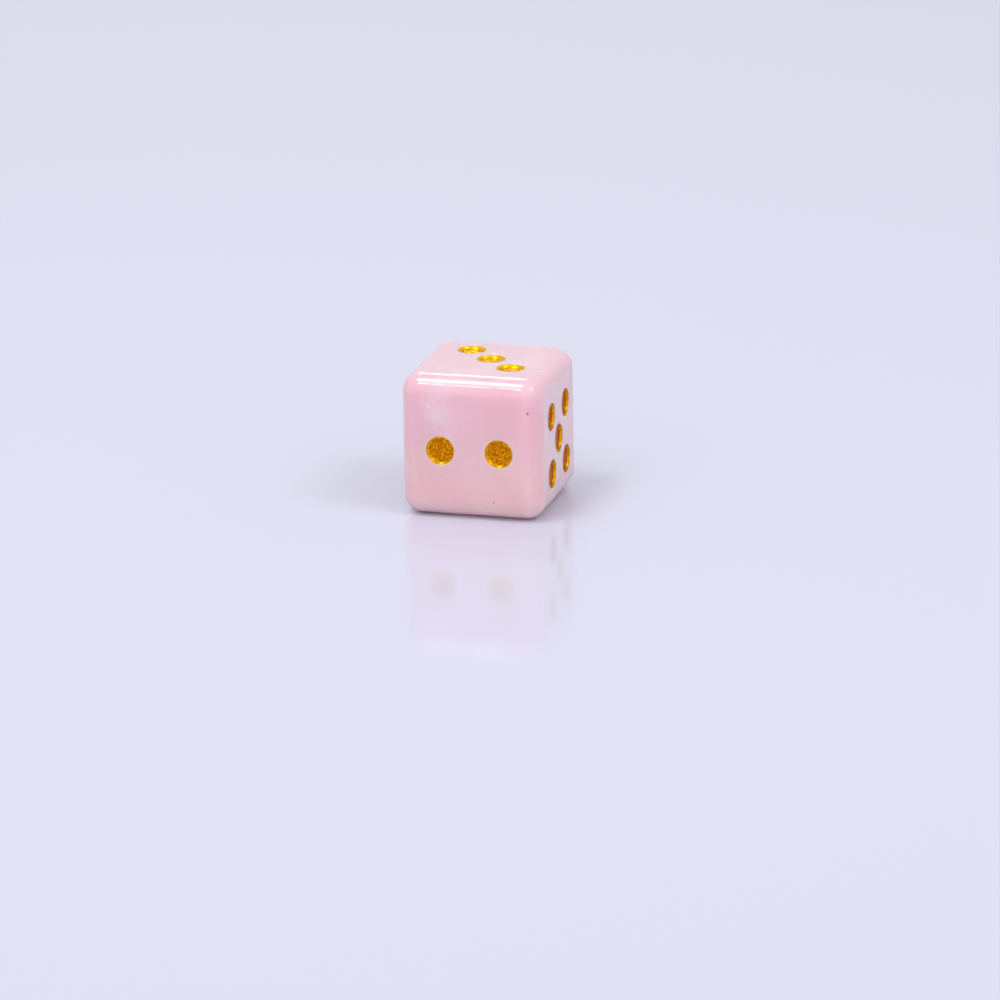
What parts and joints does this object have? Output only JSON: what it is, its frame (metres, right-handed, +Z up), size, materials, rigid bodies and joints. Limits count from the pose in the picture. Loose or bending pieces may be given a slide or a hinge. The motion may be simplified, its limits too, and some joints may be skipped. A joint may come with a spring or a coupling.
{
  "type": "gaming die",
  "caption": "Rounded-edge stone die with gold-lined drilled pips, resting on a flat face.",
  "frame": {"origin": "centre of the bottom face (the four face), on the surface the die rests on", "axes": "+Z up through the three face, -Y out of the two face, +X out of the five face; the one face looks along +Y and the six face along -X"},
  "size_m": [0.015, 0.015, 0.015],
  "materials": {
    "rose_quartz": "polished",
    "gold_paint": "satin"
  },
  "bodies": {
    "root": {"stone_body": "rose_quartz", "pip_one_centre": "gold_paint", "pip_two_left": "gold_paint", "pip_two_right": "gold_paint", "pip_three_back": "gold_paint", "pip_three_centre": "gold_paint", "pip_three_front": "gold_paint", "pip_four_front_left": "gold_paint", "pip_four_front_right": "gold_paint", "pip_four_back_left": "gold_paint", "pip_four_back_right": "gold_paint", "pip_five_upper_left": "gold_paint", "pip_five_upper_right": "gold_paint", "pip_five_centre": "gold_paint", "pip_five_lower_left": "gold_paint", "pip_five_lower_right": "gold_paint", "pip_six_upper_left": "gold_paint", "pip_six_middle_left": "gold_paint", "pip_six_lower_left": "gold_paint", "pip_six_upper_right": "gold_paint", "pip_six_middle_right": "gold_paint", "pip_six_lower_right": "gold_paint"}
  },
  "joints": []
}
